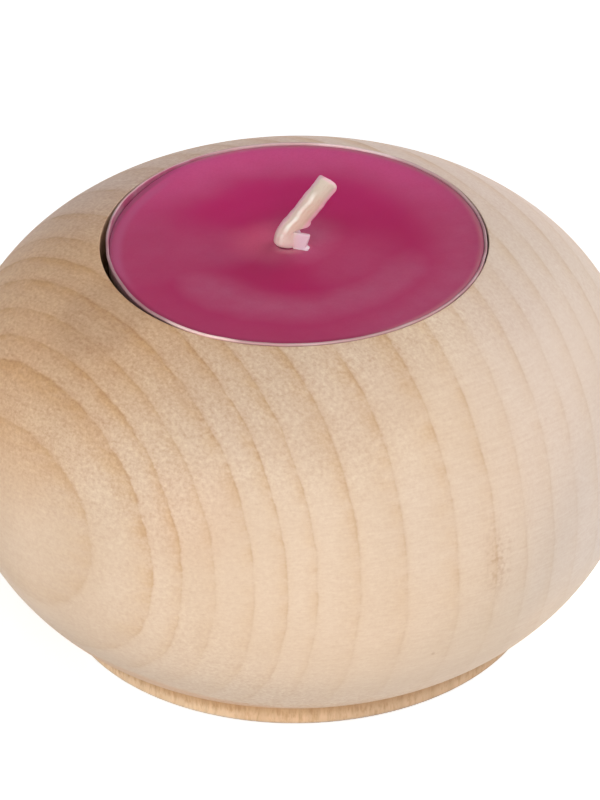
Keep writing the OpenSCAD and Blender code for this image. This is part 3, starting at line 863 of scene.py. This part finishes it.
def build_wax(material):
    inset = CUP_WALL + WAX_GAP
    panel_top = PANEL_RISE + CUP_WALL
    bore = WICK_R + BORE_GAP
    recess_r = PANEL_R + inset
    corner = CUP_CORNER - inset
    ease = WAX_EDGE_EASE
    edge_r = WAX_R - ease
    wick = np.array((WICK_X - CUP_X, WICK_Y - CUP_Y))
    verts, rings = [], []
    angles = np.linspace(0, 2 * math.pi, WAX_TURNS, endpoint=False)

    def add(x, y, z):
        rings.append(list(range(len(verts), len(verts) + WAX_TURNS)))
        turn, r = np.arctan2(y, x), np.hypot(x, y)
        r = r + out_of_round(turn, z) * np.clip(r / WAX_R, 0, 1) ** 4 * (1 - 0.1 * wax_top(x, y)[1])
        verts.extend(np.stack((CUP_X + r * np.cos(turn), CUP_Y + r * np.sin(turn), CUP_Z + z), axis=1))

    def ring_at(r, to_wick):
        shift = wick * to_wick
        return shift[0] + r * np.cos(angles), shift[1] + r * np.sin(angles)

    # The rings lie closer together towards the edge
    for share in 1 - np.linspace(1, 0, 91) ** 1.8:
        x, y = ring_at(bore + (edge_r - bore) * share, 1 - share)
        add(x, y, wax_top(x, y)[0])
    x, y = ring_at(edge_r, 0)
    edge_z, shrunk = wax_top(x, y)
    for turn in np.radians((25, 50, 70, 90)):
        r = edge_r + ease * math.sin(turn) - SHRUNK_GAP * shrunk
        add(r * np.cos(angles), r * np.sin(angles), edge_z - ease * (1 - math.cos(turn)))
    for number, z in enumerate(np.linspace(WAX_WALL_TOP, CUP_CORNER, 14)):
        r = cup_wall_r(z, inset) - SHRUNK_GAP * shrunk * max(0, 1 - number / 6)
        add(r * np.cos(angles), r * np.sin(angles), np.full(WAX_TURNS, z))
    base = arc(CUP_BASE_R - CUP_CORNER, CUP_CORNER, corner, 0, -90, 8)[1:]
    base += line(base[-1], (recess_r, CUP_CORNER - corner), 3)
    base += line(base[-1], (recess_r, panel_top), 2)
    for r, z in base:
        x, y = ring_at(r, 0)
        add(x, y, np.full(WAX_TURNS, z))
    for share in np.linspace(0, 1, 14)[1:]:
        x, y = ring_at(recess_r + (POCKET_DISC_R - recess_r) * share, share)
        add(x, y, np.full(WAX_TURNS, panel_top))
    pocket = [(POCKET_DISC_R, panel_top + POCKET_DISC_H)]
    pocket += line(pocket[-1], (POCKET_NECK_R, panel_top + POCKET_DISC_H), 6)
    pocket += line(pocket[-1], (POCKET_NECK_R, panel_top + POCKET_NECK_H), 4)
    pocket += [(bore, panel_top + POCKET_NECK_H)]
    for r, z in pocket:
        x, y = ring_at(r, 1)
        add(x, y, np.full(WAX_TURNS, z))
    rings.append(rings[0])
    faces = [tuple(reversed(f)) for f in strip_faces(rings)]
    obj = make_object("wax_fill_dished", verts, faces)
    finish_piece(obj, material, "candle", "magenta_wax", "wax_fill")


def remeshed(name, shells, voxel, smoothing):
    """One closed mesh round several overlapping shells, which are given in millimetres."""
    verts, faces = [], []
    for shell_verts, shell_faces in shells:
        faces += [tuple(i + len(verts) for i in f) for f in shell_faces]
        verts += [tuple(v) for v in shell_verts]
    mesh = bpy.data.meshes.new(name + "_raw")
    mesh.from_pydata(verts, [], faces)
    raw = bpy.data.objects.new(name + "_raw", mesh)
    bpy.context.scene.collection.objects.link(raw)
    remesh = raw.modifiers.new("remesh", "REMESH")
    remesh.mode = "VOXEL"
    remesh.voxel_size = voxel
    smooth = raw.modifiers.new("smooth", "SMOOTH")
    smooth.factor = 0.5
    smooth.iterations = smoothing
    graph = bpy.context.evaluated_depsgraph_get()
    made = bpy.data.meshes.new_from_object(raw.evaluated_get(graph))
    points = np.empty(len(made.vertices) * 3)
    made.vertices.foreach_get("co", points)
    polygons = [tuple(p.vertices) for p in made.polygons]
    bpy.data.objects.remove(raw)
    return make_object(name, points.reshape(-1, 3), polygons)


def wick_centreline():
    """Points up the middle of the wick with the lean that it has there, from its foot."""
    foot_z = CUP_Z + PANEL_RISE + CUP_WALL
    bend_z = WAX_MID_Z + STUB_H
    points = [(np.array((WICK_X, WICK_Y, z)), 0.0) for z in np.linspace(foot_z, bend_z, 120)]
    for a in np.linspace(0, WICK_LEAN, 14)[1:]:
        x = WICK_X + BEND_R * (1 - math.cos(a))
        points.append((np.array((x, WICK_Y, bend_z + BEND_R * math.sin(a))), a))
    start = points[-1][0]
    rise = WAX_MID_Z + TIP_H - start[2]
    lean = np.array((math.tan(WICK_LEAN), 0, 1))
    for share in np.linspace(0, 1, 70)[1:]:
        points.append((start + lean * rise * share, WICK_LEAN))
    return points


def wick_stem():
    """The main strand: a braid that is a little wider than deep, with a slanted cut at its tip."""
    angles = np.linspace(0, 2 * math.pi, 72, endpoint=False)
    right_side = np.cos(angles)
    heel_side = np.maximum(-np.sin(2 * angles), 0) * (np.sin(angles) > 0)
    verts, rings = [], []

    def section(point, lean, run, shrink):
        right = np.array((math.cos(lean), 0, -math.sin(lean)))
        toward = np.array((0, -1.0, 0))
        rise = point[2] - WAX_MID_Z
        bare = np.clip(rise / 0.4, 0, 1)
        above = np.clip(rise / WICK_TAPER_H, 0, 1)
        foot = HEEL_OUT * (1 - np.clip(rise / HEEL_H, 0, 1)) * bare * (right_side < 0)
        turn = BRAID_TURN * run
        weave = BRAID_RELIEF * bare * np.sin(3 * angles + turn) * np.sin(3 * angles - turn)
        swell = BRAID_RELIEF * bare * math.sin(1.7 * run)
        across = (WICK_R * (WICK_WIDE - WICK_TAPER * above) + foot + weave + swell - shrink) * right_side
        level = rise - across * math.sin(lean)
        fold = sum(depth * np.exp(-((level - mid) / half) ** 2) for mid, half, depth in WICK_FOLD)
        across = across + fold * np.maximum(right_side, 0)
        heel = 1 + 0.4 * (1 - np.clip(rise / 1.4, 0, 1)) * bare * heel_side
        out = (WICK_R * WICK_DEEP + weave - shrink) * np.sin(angles) * heel
        return point + np.outer(across, right) + np.outer(out, toward)

    def add(ring):
        rings.append(list(range(len(verts), len(verts) + len(ring))))
        verts.extend(ring)

    points = wick_centreline()
    steps = [0.0] + [float(np.linalg.norm(b[0] - a[0])) for a, b in zip(points, points[1:])]
    runs = np.cumsum(steps)
    add([points[0][0]])
    for (point, lean), run in zip(points, runs):
        if run < runs[-1] - TIP_RUN:
            buried = point[2] < WAX_MID_Z - BURIED_DEPTH
            add(section(point, lean, run, BURIED_SHRINK if buried else 0.0))
    point, lean = points[-1]
    way = np.array((math.sin(lean), 0, math.cos(lean)))
    # The edge of the cut is rounder on the right
    rounding = 0.52 + 0.32 * right_side
    for a in np.radians((0, 20, 40, 56, 70, 80, 87)):
        ring = section(point, lean, runs[-1], rounding * (1 - math.cos(a)))
        slant = TIP_SLANT * (WICK_Y - ring[:, 1])
        add(ring + np.outer(rounding * (math.sin(a) - 1) + slant, way))
    add([point + way * 0.05])
    return verts, strip_faces(rings)


def wick_flap():
    """The cut end of the braid: a thin plate in front of the stem, with a spike at its foot."""
    angles = np.linspace(0, 2 * math.pi, 48, endpoint=False)
    c, s = np.cos(angles), np.sin(angles)
    side = np.sign(c) * np.abs(c) ** FLAP_SQUARENESS
    face = np.sign(s) * np.abs(s) ** FLAP_SQUARENESS
    turn_c, turn_s = math.cos(FLAP_TURN), math.sin(FLAP_TURN)
    middle = np.array((WICK_X + FLAP_X, WICK_Y + FLAP_Y, WAX_MID_Z))
    verts, rings = [], []

    def add(x, y, z):
        rings.append(list(range(len(verts), len(verts) + len(x))))
        x, y = turn_c * x - turn_s * y, turn_s * x + turn_c * y
        verts.extend(middle + np.stack((x, y, z), axis=1))

    # Height, half width, half depth and shift to the right
    levels = (
        (-FLAP_BURIED, 0.72, 0.42, -0.1),
        (-0.1, 0.76, 0.44, -0.08),
        (0.14, 0.86, 0.42, -0.06),
        (0.26, 0.84, 0.36, -0.04),
        (0.42, 0.72, 0.34, -0.2),
        (0.8, 0.78, 0.32, -0.14),
        (1.4, 0.88, 0.26, -0.04),
        (FLAP_H - 0.1, 0.92, 0.18, 0.0),
        (FLAP_H, 0.88, 0.1, 0.0),
    )
    tip = np.zeros(1)
    add(tip, tip, tip - FLAP_BURIED)
    for z, half_x, half_y, shift in levels:
        add(shift + half_x * side, half_y * face, np.full(len(side), z))
    add(tip + 0.05, tip, tip + FLAP_H)
    return verts, strip_faces(rings)


def build_wick(material):
    obj = remeshed("wick_waxed", (wick_stem(), wick_flap()), WICK_VOXEL, WICK_SMOOTHING)
    finish_piece(obj, material, "candle", "primed_cotton", "wick")


def build_stage():
    """A pale floor that takes the shadow, and glows a little where it is seen or mirrored."""
    n = Nodes("floor")
    n.tree.nodes.remove(n.shader)
    place = n.node("TexCoord").outputs["Object"]
    diffuse = n.node("BsdfDiffuse")
    tone = n.mix(n.noise(place, 6.0, 2.0), (0.86, 0.86, 0.86), (0.88, 0.88, 0.88))
    n.feed(diffuse.inputs["Color"], tone)
    path = n.node("LightPath")
    seen = n.plus(path.outputs["Is Camera Ray"], path.outputs["Is Glossy Ray"])
    seen = n.math("ADD", seen, path.outputs["Is Transmission Ray"], clamp=True)
    glow = n.node("Emission")
    n.feed(glow.inputs["Strength"], n.times(seen, FLOOR_GLOW))
    both = n.node("AddShader")
    n.tree.links.new(diffuse.outputs[0], both.inputs[0])
    n.tree.links.new(glow.outputs[0], both.inputs[1])
    n.tree.links.new(both.outputs[0], n.tree.nodes["Material Output"].inputs["Surface"])
    half = FLOOR_HALF
    corners = ((-half, -half), (half, -half), (half, half), (-half, half))
    floor = make_object("floor", [(x, y, FLOOR_Z) for x, y in corners], [(0, 1, 2, 3)])
    floor.data.materials.append(n.material)


def build_world():
    """White where it is seen or mirrored, and a weak light elsewhere."""
    world = bpy.data.worlds.new("studio")
    world.use_nodes = True
    bpy.context.scene.world = world
    tree = world.node_tree
    back = tree.nodes["Background"]
    path = tree.nodes.new("ShaderNodeLightPath")
    add = tree.nodes.new("ShaderNodeMath")
    add.operation = "ADD"
    tree.links.new(path.outputs["Is Camera Ray"], add.inputs[0])
    tree.links.new(path.outputs["Is Glossy Ray"], add.inputs[1])
    seen = tree.nodes.new("ShaderNodeMath")
    seen.operation = "ADD"
    seen.use_clamp = True
    tree.links.new(add.outputs[0], seen.inputs[0])
    tree.links.new(path.outputs["Is Transmission Ray"], seen.inputs[1])
    level = tree.nodes.new("ShaderNodeMapRange")
    tree.links.new(seen.outputs[0], level.inputs["Value"])
    level.inputs["To Min"].default_value = AMBIENT
    level.inputs["To Max"].default_value = 1.0
    back.inputs["Color"].default_value = (1, 1, 1, 1)
    tree.links.new(level.outputs["Result"], back.inputs["Strength"])


def softbox(name, azimuth, elevation, power):
    """A square soft lamp that faces the object."""
    a, e = math.radians(azimuth), math.radians(elevation)
    away = Vector((math.sin(a) * math.cos(e), -math.cos(a) * math.cos(e), math.sin(e)))
    lamp = bpy.data.lights.new(name, "AREA")
    lamp.shape = "SQUARE"
    lamp.size = SOFTBOX_SIZE
    lamp.energy = power
    obj = bpy.data.objects.new(name, lamp)
    obj.location = LAMP_TARGET + SOFTBOX_DISTANCE * away
    obj.rotation_mode = "QUATERNION"
    obj.rotation_quaternion = (-away).to_track_quat("-Z", "Y")
    obj.visible_camera = False
    bpy.context.scene.collection.objects.link(obj)


def build_camera():
    """The photograph's camera: aimed a little off the middle of the body, and rolled a little."""
    data = bpy.data.cameras.new("camera")
    data.lens = CAMERA_LENS
    data.sensor_width = 36.0
    data.clip_start = 0.01
    data.clip_end = 20.0
    camera = bpy.data.objects.new("camera", data)
    bpy.context.scene.collection.objects.link(camera)
    c, s = math.cos(CAMERA_ELEVATION), math.sin(CAMERA_ELEVATION)
    place = CAMERA_TARGET + CAMERA_DISTANCE * Vector((0, -c, s))
    aim = CAMERA_TARGET + Vector((CAMERA_AIM_RIGHT, 0, 0)) + CAMERA_AIM_UP * Vector((0, s, c))
    camera.location = place * MM
    camera.rotation_mode = "QUATERNION"
    look = (aim - place).to_track_quat("-Z", "Y")
    camera.rotation_quaternion = look @ Quaternion((0, 0, 1), CAMERA_ROLL)
    bpy.context.scene.camera = camera


bpy.context.scene.view_settings.view_transform = "Standard"

build_camera()
build_stage()
build_world()
for lamp_row in SOFTBOXES:
    softbox(*lamp_row)

build_wood(maple())
build_cup(pressed_aluminium())
build_wax(magenta_wax())
build_wick(primed_cotton())
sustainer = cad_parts["wick_sustainer"]
sustainer.data.materials.clear()
sustainer.data.materials.append(tinplate())
